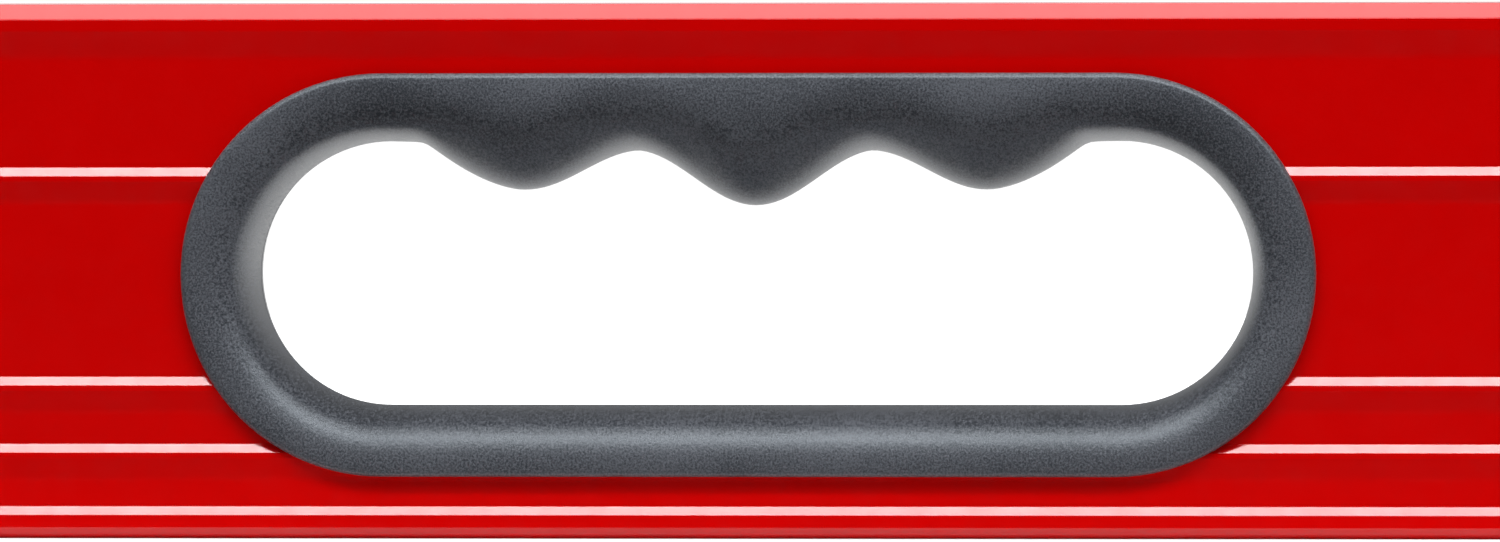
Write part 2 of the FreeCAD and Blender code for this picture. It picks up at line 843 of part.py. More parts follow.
def make_plumb_carrier(side, face):
    """One half of the round bezel that holds a plumb vial."""
    way = FACES[face]
    vial = plumb_vial(side)
    body = new_body(f"plumb_{side}_carrier_{face}_bezel")
    fit = dim("fit_gap")
    seat_y = dim("plumb_block_width") / 2 + fit

    hub = new_sketch(body, "XZ_Plane")
    circle(hub, vial.x, vial.z, dim("plumb_hub_radius"))
    pad(body, hub, web_y, way)
    flange = new_sketch(body, "XZ_Plane", -web_y * way)
    circle(flange, vial.x, vial.z, dim("plumb_flange_radius"))
    pad(body, flange, dim("carrier_rise"), way)
    front = flange_y.number * way
    dress(body, "Fillet", "Radius", dim("flange_round"), lambda e: lies_at_y(e, front))

    hollow = new_sketch(body, "XZ_Plane")
    circle(hollow, vial.x, vial.z, dim("plumb_hub_radius") - dim("plumb_hub_wall"))
    wall = dim("cradle_wall")
    half_width = dim("plumb_block_width") / 2 + fit
    half_length = dim("plumb_block_length") / 2 + fit
    rectangle(
        hollow, vial.x - half_width - wall, vial.x + half_width + wall,
        vial.z - half_length, vial.z + half_length,
    )
    pocket(body, hollow, seat_y, way)
    seat = new_sketch(body, "XZ_Plane")
    rectangle(
        seat, vial.x - half_width, vial.x + half_width,
        vial.z - half_length, vial.z + half_length,
    )
    pocket(body, seat, seat_y, way)
    window = new_sketch(body, "XZ_Plane")
    stadium(
        window, vial.x, vial.z, dim("plumb_window_straight"), dim("plumb_window_radius"),
        upright=True,
    )
    pocket(body, window, flange_y + dim("carrier_gap"), way)
    reach = dim("plumb_window_radius").number + 0.01

    def window_rim(edge):
        box = edge.BoundBox
        return lies_at_y(edge, front) and abs(box.XMax - vial.x.number) < reach

    dress(body, "Chamfer", "Size", dim("window_bevel"), window_rim)
    return body


# ---------------------------------------------------------------- end caps


def cap_outline(sketch):
    """The profile's outline, a little smaller, with its corners cut."""
    margin, corner = dim("cap_margin"), dim("cap_corner")
    y, low, high = rail_y - margin, margin, height - margin
    inner = y - corner
    polygon(sketch, [
        (inner, low), (y, low + corner), (y, high - corner), (inner, high),
        (-inner, high), (-y, high - corner), (-y, low + corner), (-inner, low),
    ])


def make_cap_core(side):
    """The stiff plate of an end cap, with the slotted tongue that grips inside the profile."""
    sign = SIDES[side]
    body = new_body(f"cap_{side}_core")
    plate = new_sketch(body, "YZ_Plane", profile_end * sign)
    cap_outline(plate)
    pad(body, plate, dim("cap_plate")).Reversed = sign < 0
    tongue = new_sketch(body, "YZ_Plane", profile_end * sign)
    gap, wall = dim("tongue_gap"), dim("tongue_wall")
    y, low = wall_y - gap, dim("rail_wall") + gap
    rectangle(tongue, -y, y, low, height - low)
    rectangle(tongue, -y + wall, y - wall, low + wall, height - low - wall)
    pad(body, tongue, dim("tongue_length")).Reversed = sign > 0
    doc.recompute()
    slot = new_sketch(body, "XZ_Plane")
    middle, half_slot = height / 2, dim("tongue_slot") / 2
    end = (profile_end - dim("tongue_length")) * sign
    start = (profile_end - dim("tongue_wall") * 2) * sign
    rectangle(slot, end, start, middle - half_slot, middle + half_slot)
    pocket(body, slot)
    return body


def make_cap_bumper(side):
    """The soft bumper on the outside of an end cap, grooved against slipping on a wall."""
    sign = SIDES[side]
    body = new_body(f"cap_{side}_bumper")
    start = profile_end + dim("cap_plate")
    pad_sketch = new_sketch(body, "YZ_Plane", start * sign)
    cap_outline(pad_sketch)
    pad(body, pad_sketch, level_end - start).Reversed = sign < 0
    doc.recompute()
    outer = level_end.number * sign

    def outer_rim(edge):
        box = edge.BoundBox
        return abs(box.XMin - outer) < 1e-4 and abs(box.XMax - outer) < 1e-4

    dress(body, "Fillet", "Radius", dim("cap_round"), outer_rim)
    grooves = new_sketch(body, "XZ_Plane")
    depth, tall, pitch = (
        dim("cap_groove_depth"), dim("cap_groove_height"), dim("cap_groove_pitch"),
    )
    count = DIMENSIONS["cap_groove_count"]
    inner, past = (level_end - depth) * sign, (level_end + depth) * sign
    for i in range(count):
        z = height / 2 + pitch * (i - (count - 1) / 2)
        rectangle(grooves, inner, past, z - tall / 2, z + tall / 2)
    pocket(body, grooves)
    return body


# ---------------------------------------------------------------- assembly and export


def make_all():
    """Every sub-part of the level, as document objects labelled with their node names."""
    profile = make_profile()
    nodes = [profile]
    skin = front_grip_skin()
    for side in SIDES:
        for face in FACES:
            nodes.append(make_grip_core(side, face))
            nodes.append(make_grip_skin(skin, profile, side, face))
    nodes += make_centre_vial()
    for face in FACES:
        bezel = make_centre_carrier(face)
        nodes.append(boolean("Cut", f"centre_carrier_{face}", bezel, profile))
    for side in SIDES:
        nodes += make_plumb_vial(side)
        for face in FACES:
            bezel = make_plumb_carrier(side, face)
            nodes.append(boolean("Cut", f"plumb_{side}_carrier_{face}", bezel, profile))
        nodes.append(make_cap_core(side))
        nodes.append(make_cap_bumper(side))
    doc.recompute()
    return nodes


def check(nodes):
    """Stops if any object failed to build, or if any sub-part has no valid solid."""
    for item in doc.Objects:
        if {"Invalid", "Error"} & set(item.State):
            raise RuntimeError(f"{item.Label} failed to build: {item.State}")
    for node in nodes:
        if node.Shape.isNull() or not node.Shape.isValid() or not node.Shape.Solids:
            raise RuntimeError(f"{node.Label} has no valid solid")


def export(nodes):
    os.makedirs("parts", exist_ok=True)
    for node in nodes:
        node.Shape.exportStep(f"parts/{node.Label}.step")
        print(f"{node.Label}: {len(node.Shape.Solids)} solid(s), {node.Shape.Volume:.1f} mm3")


parts = make_all()
check(parts)
export(parts)
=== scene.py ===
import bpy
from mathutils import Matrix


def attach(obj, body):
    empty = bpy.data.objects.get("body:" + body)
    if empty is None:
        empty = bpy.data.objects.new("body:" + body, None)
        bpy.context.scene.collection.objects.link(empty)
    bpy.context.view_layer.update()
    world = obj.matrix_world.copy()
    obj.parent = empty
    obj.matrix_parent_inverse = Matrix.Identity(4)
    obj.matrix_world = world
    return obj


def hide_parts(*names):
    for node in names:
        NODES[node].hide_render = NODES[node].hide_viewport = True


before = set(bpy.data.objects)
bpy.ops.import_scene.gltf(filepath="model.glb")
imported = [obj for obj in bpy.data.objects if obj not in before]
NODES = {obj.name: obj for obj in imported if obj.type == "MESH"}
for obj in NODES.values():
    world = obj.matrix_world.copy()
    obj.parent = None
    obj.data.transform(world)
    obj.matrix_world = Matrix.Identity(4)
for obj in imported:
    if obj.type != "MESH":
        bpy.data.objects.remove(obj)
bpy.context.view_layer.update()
import math

import bmesh
import bpy
from mathutils import Quaternion, Vector

MM = 0.001
SIDES = {"left": -1, "right": 1}
FACES = {"front": -1, "rear": 1}

# Sizes in millimetres that the visual pieces share with the CAD model.
# The profile: half its length, its height, the depth of its recessed web and of its raised rails.
PROFILE_HALF = 394.0
HEIGHT = 62.0
WEB_Y = 11.9
RAIL_Y = 12.5
EDGE_CHAMFER, RAIL_FACE = 1.2, 1.5
TOP_CHAMFER, TOP_FACE, RAIL_SLOPE = 1.75, 1.35, 3.0
LEDGE, RIB_CREST, RIB_SLOPE = 1.05, 0.6, 2.4
RIB_TOPS = (11.0, 18.8, 43.1)
SIDE_WALL, RAIL_WALL = 2.0, 3.4
CUTOUT_R = 20.9
NOTCH_HALF, NOTCH_FLOOR, NOTCH_CORNER = 32.0, 37.0, 3.0

# The grips: their places, the straight part of the opening and the three ridges between fingers.
GRIP_X = 185.0
GRIP_Z = 30.6
GRIP_Y = 13.5
HALF_STRAIGHT = 42.6
OUTER_R = 23.4
OPENING_R = 15.35
FINGER_PITCH = 27.3
FINGER_BOW = 1.35
MIDDLE_RIDGE, MIDDLE_REACH = 6.12, 14.2
SIDE_RIDGE, SIDE_REACH_IN, SIDE_REACH_OUT = 5.25, 14.4, 11.3
SLEEVE_R = 20.6
CORE_R = 18.2
CORE_DEPTH = 9.0

# The grip's moulded surface: the flat band beside the opening's crest, how much the band falls
# towards its outer edge, the rounding of that edge, and the crest's radius and turn.
BAND = 1.3
RIDGE_BAND = 3.5
CROWN = 0.1
EDGE = 0.8
CREST_R = 6.5
CREST_TURN = math.radians(42)
SWEEP_STEPS, CREST_STEPS = 30, 14
SOFTNESS = 0.1

# The vials: their places, the barrel-shaped bore, and the bubbles inside it.
PLUMB_X = 325.0
CENTRE_VIAL_Z = 49.0
BORE_R = 5.2
BARREL_R = 4000.0
BUBBLE_R = 5.145
LIQUID_GAP = 0.07
LIQUID_EDGE = 0.35
ROUND_BUBBLE_TOP, ROUND_BUBBLE_LOW, ROUND_BUBBLE_EDGE = 0.15, 3.95, 0.7
LONG_BUBBLE_HALF, LONG_BUBBLE_DEPTH = 6.2, 3.9
LONG_BUBBLE_LEAN = math.radians(74)
# Where the long bubble's rim, painted darker as shade, begins: a share of its half length.
SHADED_RIM_SHARE = 0.86

WHITE = (1, 1, 1, 1)


# ---------------------------------------------------------------- material helpers


def new_material(name):
    mat = bpy.data.materials.new(name)
    mat.use_nodes = True
    tree = mat.node_tree
    return mat, tree, tree.nodes["Principled BSDF"]


def set_inputs(node, **values):
    for name, value in values.items():
        node.inputs[name.replace("_", " ")].default_value = value


def add(tree, kind, **settings):
    node = tree.nodes.new(kind)
    for name, value in settings.items():
        setattr(node, name, value)
    return node


def noise(tree, coords, scale, detail=2.0, rough=0.5, stretch=None):
    """A noise texture over object coordinates, in cells per metre."""
    source = coords
    if stretch is not None:
        mapping = add(tree, "ShaderNodeMapping")
        mapping.inputs["Scale"].default_value = stretch
        tree.links.new(coords, mapping.inputs["Vector"])
        source = mapping.outputs["Vector"]
    tex = add(tree, "ShaderNodeTexNoise")
    set_inputs(tex, Scale=scale, Detail=detail, Roughness=rough)
    tree.links.new(source, tex.inputs["Vector"])
    return tex.outputs["Fac"]


def ramp(tree, value, low, high, to_low=0.0, to_high=1.0):
    """A smooth step from to_low at low to to_high at high."""
    node = add(tree, "ShaderNodeMapRange")
    node.interpolation_type = "SMOOTHSTEP"
    set_inputs(node, **{"From_Min": low, "From_Max": high, "To_Min": to_low, "To_Max": to_high})
    tree.links.new(value, node.inputs["Value"])
    return node.outputs["Result"]


def calculate(tree, operation, *values):
    """The result of a maths node; each value is a number or a socket."""
    node = add(tree, "ShaderNodeMath", operation=operation)
    for socket, value in zip(node.inputs, values):
        if isinstance(value, float):
            socket.default_value = value
        else:
            tree.links.new(value, socket)
    return node.outputs[0]


def mix_colour(tree, factor, a, b):
    """A colour between a and b, each a fixed colour or a socket."""
    node = add(tree, "ShaderNodeMix", data_type="RGBA")
    for name, colour in (("A", a), ("B", b)):
        if isinstance(colour, tuple):
            node.inputs[name].default_value = (*colour, 1)
        else:
            tree.links.new(colour, node.inputs[name])
    tree.links.new(factor, node.inputs["Factor"])
    return node.outputs["Result"]


def bump(tree, height, strength, distance, under=None):
    node = add(tree, "ShaderNodeBump")
    set_inputs(node, Strength=strength, Distance=distance)
    tree.links.new(height, node.inputs["Height"])
    if under is not None:
        tree.links.new(under, node.inputs["Normal"])
    return node.outputs["Normal"]


def object_coords(tree):
    return add(tree, "ShaderNodeTexCoord").outputs["Object"]


def split_axes(tree, vector):
    node = add(tree, "ShaderNodeSeparateXYZ")
    tree.links.new(vector, node.inputs[0])
    return [node.outputs[axis] for axis in "XYZ"]


def is_ray(tree, kind):
    return add(tree, "ShaderNodeLightPath").outputs[f"Is {kind} Ray"]


def grey(value):
    return (value, value, value)


def powder_red():
    """Gloss red powder coat: faint orange peel, a fine grain and slightly uneven gloss."""
    mat, tree, shader = new_material("red_powder_coat")
    coords = object_coords(tree)
    colour = mix_colour(
        tree, ramp(tree, noise(tree, coords, 90, 3), 0.3, 0.7), (0.612, 0.0, 0.0), (0.590, 0.0, 0.0)
    )
    tree.links.new(colour, shader.inputs["Base Color"])
    rough = ramp(tree, noise(tree, coords, 400, 3), 0.3, 0.7, 0.11, 0.15)
    tree.links.new(rough, shader.inputs["Roughness"])
    peel = bump(tree, noise(tree, coords, 1300, 2), 0.05, 0.00001)
    grain = bump(tree, noise(tree, coords, 6000, 1), 0.30, 0.00001, peel)
    tree.links.new(grain, shader.inputs["Normal"])
    set_inputs(shader, IOR=1.5)
    return mat


def rubber(name, dark, light, rough, cell, depth, stretch=None):
    """Moulded soft plastic with a fine leather grain, a faint dusty bloom and a cool gloss."""
    mat, tree, shader = new_material(name)
    coords = object_coords(tree)
    fine = noise(tree, coords, cell, 3, 0.75, stretch)
    speckle = calculate(tree, "MULTIPLY_ADD", noise(tree, coords, 60, 3), 0.25, fine)
    colour = mix_colour(tree, ramp(tree, speckle, 0.48, 0.80), dark, light)
    tree.links.new(colour, shader.inputs["Base Color"])
    roughness = ramp(tree, fine, 0.3, 0.7, rough - 0.06, rough + 0.08)
    tree.links.new(roughness, shader.inputs["Roughness"])
    coarse = bump(tree, noise(tree, coords, cell * 0.45, 2, 0.5, stretch), 0.35, depth)
    tree.links.new(bump(tree, fine, 0.6, depth * 0.6, coarse), shader.inputs["Normal"])
    shader.inputs["Sheen Weight"].default_value = 0.12
    shader.inputs["Sheen Roughness"].default_value = 0.30
    shader.inputs["Specular IOR Level"].default_value = 0.64
    shader.inputs["Specular Tint"].default_value = (0.86, 0.94, 1.0, 1)
    return mat


def hard_plastic(name, dark, light, rough):
    """Moulded hard plastic with a fine spark-eroded texture."""
    mat, tree, shader = new_material(name)
    coords = object_coords(tree)
    patch = ramp(tree, noise(tree, coords, 1800, 3), 0.3, 0.7)
    tree.links.new(mix_colour(tree, patch, dark, light), shader.inputs["Base Color"])
    fine = noise(tree, coords, 2200, 2)
    roughness = ramp(tree, fine, 0.3, 0.7, rough - 0.05, rough + 0.08)
    tree.links.new(roughness, shader.inputs["Roughness"])
    tree.links.new(bump(tree, fine, 0.5, 0.00005), shader.inputs["Normal"])
    return mat


def clear_plastic(name, dark, light, alpha):
    """Clear moulded plastic with fine hairline scratches. Most of what is behind shows through,
    so the shader's index is raised to keep the gloss of the whole surface."""
    mat, tree, shader = new_material(name)
    coords = object_coords(tree)
    patch = ramp(tree, noise(tree, coords, 150, 3), 0.3, 0.7)
    tree.links.new(mix_colour(tree, patch, dark, light), shader.inputs["Base Color"])
    hair = noise(tree, coords, 900, 2, 0.5, stretch=(0.15, 1.0, 1.0))
    tree.links.new(ramp(tree, hair, 0.35, 0.7, 0.03, 0.12), shader.inputs["Roughness"])
    tree.links.new(bump(tree, hair, 0.04, 0.00001), shader.inputs["Normal"])
    set_inputs(shader, IOR=2.1, Alpha=alpha)
    return mat


def vial_liquid():
    """Clear yellow-green liquid, a little uneven, whose faint emission paints a glow on it."""
    mat, tree, shader = new_material("vial_liquid")
    coords = object_coords(tree)
    drift = ramp(tree, noise(tree, coords, 110, 2), 0.3, 0.7)
    colour = mix_colour(tree, drift, (0.46, 0.78, 0.004), (0.56, 0.85, 0.008))
    tree.links.new(colour, shader.inputs["Base Color"])
    tree.links.new(ramp(tree, drift, 0.0, 1.0, 0.05, 0.10), shader.inputs["Roughness"])
    set_inputs(shader, IOR=1.45, Alpha=0.86)
    # Painted glow: the emission makes the liquid give off light though it is no lamp.
    shader.inputs["Emission Color"].default_value = (0.45, 0.80, 0.0, 1)
    shader.inputs["Emission Strength"].default_value = 0.20
    return mat


def vial_air():
    """The bubble: a pale shiny skin of air against the liquid, with a painted glow from a faint
    emission.
    """
    mat, tree, shader = new_material("vial_air")
    coords = object_coords(tree)
    sheen = ramp(tree, noise(tree, coords, 260, 2), 0.3, 0.7)
    colour = mix_colour(tree, sheen, (0.84, 0.92, 0.52), (0.92, 0.96, 0.70))
    tree.links.new(colour, shader.inputs["Base Color"])
    tree.links.new(ramp(tree, sheen, 0.0, 1.0, 0.04, 0.09), shader.inputs["Roughness"])
    set_inputs(shader, IOR=1.6)
    # Painted glow: the emission makes the bubble give off light though it is no lamp.
    shader.inputs["Emission Color"].default_value = (0.85, 0.95, 0.50, 1)
    shader.inputs["Emission Strength"].default_value = 0.25
    return mat


# ---------------------------------------------------------------- mesh helpers


def make_mesh(name, verts, faces, mat, body, slot, smooth=True, crease=None):
    """A mesh object from points in millimetres, riding on a CAD body. Edges that turn by more
    than crease degrees stay sharp."""
    mesh = bpy.data.meshes.new(name)
    mesh.from_pydata([tuple(c * MM for c in v) for v in verts], [], faces)
    mesh.validate()
    bm = bmesh.new()
    bm.from_mesh(mesh)
    bmesh.ops.recalc_face_normals(bm, faces=bm.faces)
    bm.to_mesh(mesh)
    bm.free()
    if smooth:
        mesh.shade_smooth()
    if crease is not None:
        mesh.set_sharp_from_angle(angle=math.radians(crease))
    obj = bpy.data.objects.new(name, mesh)
    bpy.context.scene.collection.objects.link(obj)
    if mat is not None:
        mesh.materials.append(mat)
    if body is not None:
        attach(obj, body)
    return obj


def apply_modifiers(obj):
    dg = bpy.context.evaluated_depsgraph_get()
    mesh = bpy.data.meshes.new_from_object(obj.evaluated_get(dg))
    obj.modifiers.clear()
    old = obj.data
    obj.data = mesh
    bpy.data.meshes.remove(old)


def round_corners(points, radii, step=0.12):
    """A closed outline with each corner rounded by its radius; points and radii in millimetres."""
    out = []
    count = len(points)
    for i, (point, radius) in enumerate(zip(points, radii)):
        here = Vector(point)
        before = Vector(points[i - 1]) - here
        after = Vector(points[(i + 1) % count]) - here
        angle = before.angle(after)
        if radius <= 0 or angle > math.pi - 1e-3:
            out.append(tuple(here))
            continue
        reach = radius / math.tan(angle / 2)
        reach = min(reach, before.length * 0.49, after.length * 0.49)
        radius = reach * math.tan(angle / 2)
        start = here + before.normalized() * reach
        end = here + after.normalized() * reach
        centre = here + (before.normalized() + after.normalized()).normalized() * (
            radius / math.sin(angle / 2)
        )
        a, b = start - centre, end - centre
        sweep = a.angle(b)
        turns = max(3, min(12, int(radius * sweep / step)))
        for k in range(turns + 1):
            share = k / turns
            v = (a * math.sin((1 - share) * sweep) + b * math.sin(share * sweep)) / math.sin(sweep)
            out.append(tuple(centre + v))
    return out


# ---------------------------------------------------------------- aluminium profile


def profile_side():
    """The outer outline of one side as (outward y, z, rounding radius), from the bottom up."""
    low = EDGE_CHAMFER + RAIL_FACE
    side = [
        (RAIL_Y - EDGE_CHAMFER, 0.0, 0.15),
        (RAIL_Y, EDGE_CHAMFER, 0.25),
        (RAIL_Y, low, 0.25),
        (WEB_Y, low + LEDGE, 0.2),
    ]
    for top in RIB_TOPS:
        side += [
            (WEB_Y, top - LEDGE - RIB_CREST - RIB_SLOPE, 4.0),
            (RAIL_Y, top - LEDGE - RIB_CREST, 0.8),
            (RAIL_Y, top - LEDGE, 0.2),
            (WEB_Y, top, 0.2),
        ]
    high = HEIGHT - TOP_CHAMFER - TOP_FACE
    side += [
        (WEB_Y, high - RAIL_SLOPE, 6.0),
        (RAIL_Y, high, 0.8),
        (RAIL_Y, HEIGHT - TOP_CHAMFER, 0.25),
        (RAIL_Y - TOP_CHAMFER, HEIGHT, 0.15),
    ]
    return side


def prism(outline, y0, y1):
    """A solid from an outline in the XZ plane, between two places along Y."""
    n = len(outline)
    verts = [(x, y0, z) for x, z in outline] + [(x, y1, z) for x, z in outline]
    faces = [tuple(range(n)), tuple(range(2 * n - 1, n - 1, -1))]
    faces += [(i, i + n, (i + 1) % n + n, (i + 1) % n) for i in range(n)]
    return verts, faces


def stadium_outline(x, z, half, radius, steps=48):
    points = []
    for side, start in ((1, -90), (-1, 90)):
        for k in range(steps + 1):
            a = math.radians(start + 180 * k / steps)
            points.append((x + side * half + radius * math.cos(a), z + radius * math.sin(a)))
    return points


def make_profile(mat):
    """The hollow extrusion, cut through at the grips, the plumb vials and the centre vial."""
    side = profile_side()
    outline = [(y, z) for y, z, _ in side] + [(-y, z) for y, z, _ in reversed(side)]
    radii = [r for _, _, r in side] + [r for _, _, r in reversed(side)]
    outer = round_corners(outline, radii)
    wall, ceiling = WEB_Y - SIDE_WALL, HEIGHT - RAIL_WALL
    inner = round_corners(
        [(wall, RAIL_WALL), (wall, ceiling), (-wall, ceiling), (-wall, RAIL_WALL)], [0.8] * 4
    )
    end = PROFILE_HALF
    verts, faces = [], []
    for ring in (outer, inner):
        base, n = len(verts), len(ring)
        verts += [(-end, y, z) for y, z in ring] + [(end, y, z) for y, z in ring]
        faces += [
            (base + i, base + (i + 1) % n, base + n + (i + 1) % n, base + n + i) for i in range(n)
        ]
    obj = make_mesh("profile_extrusion", verts, faces, mat, None, None, smooth=False)
    bm = bmesh.new()
    bm.from_mesh(obj.data)
    for x in (-end * MM, end * MM):
        edges = [e for e in bm.edges if all(abs(v.co.x - x) < 1e-6 for v in e.verts)]
        bmesh.ops.triangle_fill(bm, use_beauty=True, use_dissolve=False, edges=edges)
    bmesh.ops.recalc_face_normals(bm, faces=bm.faces)
    bm.to_mesh(obj.data)
    bm.free()

    cutters = []
    for sign in SIDES.values():
        cutters.append(stadium_outline(sign * GRIP_X, GRIP_Z, HALF_STRAIGHT, CUTOUT_R))
        cutters.append(stadium_outline(sign * PLUMB_X, GRIP_Z, 0.0, CUTOUT_R))
    half, floor, above, beyond = NOTCH_HALF, NOTCH_FLOOR, 80.0, 30.0
    notch = [(-half, above), (-half, floor), (half, floor), (half, above)]
    cutters.append(round_corners(notch, [0, NOTCH_CORNER, NOTCH_CORNER, 0], step=0.3))
    for outline in cutters:
        cutter = make_mesh("cutter", *prism(outline, -beyond, beyond), None, None, None)
        cut = obj.modifiers.new("cut", "BOOLEAN")
        cut.operation, cut.solver, cut.object = "DIFFERENCE", "EXACT", cutter
        apply_modifiers(obj)
        bpy.data.objects.remove(cutter)
    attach(obj, "level")
    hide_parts("frame_profile")
    return obj


# ---------------------------------------------------------------- hand grips


def swell(distance, reach):
    """A smooth hump: 1 in the middle, 0 from the reach outwards."""
    share = min(1.0, abs(distance) / reach)
    return math.cos(math.pi * share / 2) ** 2


def shoulder(distance, reach):
    """A ridge's flank that ends in a softened edge instead of a long run-out."""
    flank = 1.0 - (distance / reach) ** 1.75
    return (flank + math.sqrt(flank ** 2 + SOFTNESS ** 2)) / 2


def opening_edge(x):
    """Height of the opening's upper edge above its centre line, and how far a ridge stands out."""
    beyond = abs(x) - FINGER_PITCH
    side = shoulder(beyond, SIDE_REACH_OUT) if beyond > 0 else swell(beyond, SIDE_REACH_IN)
    ridge = MIDDLE_RIDGE * swell(x, MIDDLE_REACH) + SIDE_RIDGE * side
    return OPENING_R - FINGER_BOW * swell(x, HALF_STRAIGHT) - ridge, ridge / MIDDLE_RIDGE


def bezier(p0, p1, p2, p3, share):
    """A point of a cubic curve between p0 and p3."""
    a, b = 1 - share, share
    k = (a ** 3, 3 * a * a * b, 3 * a * b * b, b ** 3)
    return tuple(sum(w * p[i] for w, p in zip(k, (p0, p1, p2, p3))) for i in range(2))


def plain_sweep(inner, band_in):
    """The wall of the opening where it's plain: a steep draft from the rim, then a round crest
    that runs out in the flat band."""
    draft, pull_low, pull_high = 0.35, 7.5, 1.5
    draft_steps = SWEEP_STEPS - CREST_STEPS
    turn_cos, turn_sin = math.cos(CREST_TURN), math.sin(CREST_TURN)
    foot = (band_in - CREST_R * turn_sin, GRIP_Y - CREST_R * (1 - turn_cos))
    ends = (
        (inner, 0.0),
        (inner + draft, pull_low),
        (foot[0] - pull_high * turn_cos, foot[1] - pull_high * turn_sin),
        foot,
    )
    points = [bezier(*ends, k / draft_steps) for k in range(draft_steps)]
    for k in range(CREST_STEPS + 1):
        a = CREST_TURN * (1 - k / CREST_STEPS)
        points.append((band_in - CREST_R * math.sin(a), GRIP_Y - CREST_R * (1 - math.cos(a))))
    return points


def ridge_sweep(inner, band_in):
    """The wall on a finger ridge: a long slope from the band down to a rounded nose."""
    width = band_in - inner
    ends = (
        (inner, 0.0), (inner, GRIP_Y * 0.42), (band_in - width * 0.55, GRIP_Y), (band_in, GRIP_Y),
    )
    return [bezier(*ends, k / SWEEP_STEPS) for k in range(SWEEP_STEPS + 1)]


def grip_section(inner, ridge):
    """One half's closed section as (radius, depth towards the face): from the parting line over
    the crest and the flat band to the foot of the outer wall, then back round the stiff core."""
    plain = plain_sweep(inner, OUTER_R - BAND)
    ridged = ridge_sweep(inner, OUTER_R - RIDGE_BAND)
    points = [
        tuple(p + (q - p) * ridge for p, q in zip(a, b)) for a, b in zip(plain, ridged)
    ]
    band_in = points[-1][0]
    points[:1] = [(inner + 0.15, 0.0), (inner, 0.18)]
    flat = OUTER_R - EDGE
    crown = CROWN * (flat - band_in)
    for k in range(1, 4):
        share = k / 3
        points.append((band_in + (flat - band_in) * share, GRIP_Y - crown * share ** 2))
    low = GRIP_Y - crown - EDGE
    for k in range(1, 8):
        a = math.radians(90 * k / 7)
        points.append((flat + EDGE * math.sin(a), low + EDGE * math.cos(a)))
    foot = WEB_Y - 0.15
    points += [(OUTER_R, foot), (SLEEVE_R, foot), (SLEEVE_R, CORE_DEPTH)]
    points += [(CORE_R, CORE_DEPTH), (CORE_R, 0.0)]
    return points


def grip_stations():
    """Stations round the opening: (path point, outward direction, section)."""
    plain = grip_section(OPENING_R, 0.0)
    stations = []
    fine, coarse, turn = 120, 24, 48
    for k in range(fine):
        x = HALF_STRAIGHT * (1 - 2 * k / fine)
        stations.append(((x, 0.0), (0.0, 1.0), grip_section(*opening_edge(x))))
    for k in range(turn):
        a = math.radians(90 + 180 * k / turn)
        stations.append(((-HALF_STRAIGHT, 0.0), (math.cos(a), math.sin(a)), plain))
    for k in range(coarse):
        x = HALF_STRAIGHT * (2 * k / coarse - 1)
        stations.append(((x, 0.0), (0.0, -1.0), plain))
    for k in range(turn):
        a = math.radians(270 + 180 * k / turn)
        stations.append(((HALF_STRAIGHT, 0.0), (math.cos(a), math.sin(a)), plain))
    return stations


def make_grip(mat, side, face):
    """The soft skin of one grip half, as a closed loop of sections round the opening."""
    way = FACES[face]
    centre_x = SIDES[side] * GRIP_X
    verts, faces = [], []
    stations = grip_stations()
    for (px, pz), (dx, dz), section in stations:
        for radius, depth in section:
            verts.append((centre_x + px + dx * radius, way * depth, GRIP_Z + pz + dz * radius))
    n, rows = len(stations[0][2]), len(stations)
    for i in range(rows):
        j = (i + 1) % rows
        for k in range(n):
            m = (k + 1) % n
            faces.append((i * n + k, i * n + m, j * n + m, j * n + k))
    obj = make_mesh(f"grip_{side}_{face}", verts, faces, mat, "level", "grip_rubber", crease=38)
    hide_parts(f"grip_{side}_{face}_skin")
    return obj


# ---------------------------------------------------------------- vials

VIALS = {
    "centre_vial": dict(place=(0.0, 0.0, CENTRE_VIAL_Z), axis="x", half=25.0, body="centre_bubble"),
    "plumb_left_vial": dict(
        place=(-PLUMB_X, 0.0, GRIP_Z), axis="z", half=12.5, body="left_plumb_bubble"
    ),
    "plumb_right_vial": dict(
        place=(PLUMB_X, 0.0, GRIP_Z), axis="z", half=12.5, body="right_plumb_bubble"
    ),
}


def barrel(along):
    """The bore's radius at a distance from its middle."""
    return BORE_R - BARREL_R + math.sqrt(BARREL_R ** 2 - along ** 2)


def along_axis(place, axis, along, across):
    """The point on an axis through place, moved along it and across it."""
    u, v = across
    offset = (along, u, v) if axis == "x" else (u, v, along)
    return tuple(p + o for p, o in zip(place, offset))


def turned(name, profile, place, axis, mat, body, slot, steps=72):
    """A closed turned piece; its profile is a list of (place along the axis, radius)."""
    verts, faces = [], []
    for along, radius in profile:
        for k in range(steps):
            a = 2 * math.pi * k / steps
            across = (radius * math.cos(a), radius * math.sin(a))
            verts.append(along_axis(place, axis, along, across))
    for i in range(len(profile) - 1):
        a, b = i * steps, (i + 1) * steps
        faces += [(a + k, a + (k + 1) % steps, b + (k + 1) % steps, b + k) for k in range(steps)]
    faces += [tuple(range(steps)), tuple(range(len(verts) - steps, len(verts)))]
    return make_mesh(name, verts, faces, mat, body, slot, crease=50)


def rounded_rim(along, radius, edge, sign, turns=6):
    """A round rim of a turned piece, from its flat end outwards."""
    points = []
    for k in range(turns + 1):
        a = math.radians(90 * k / turns)
        points.append((along - sign * edge * (1 - math.cos(a)), radius - edge + edge * math.sin(a)))
    return points


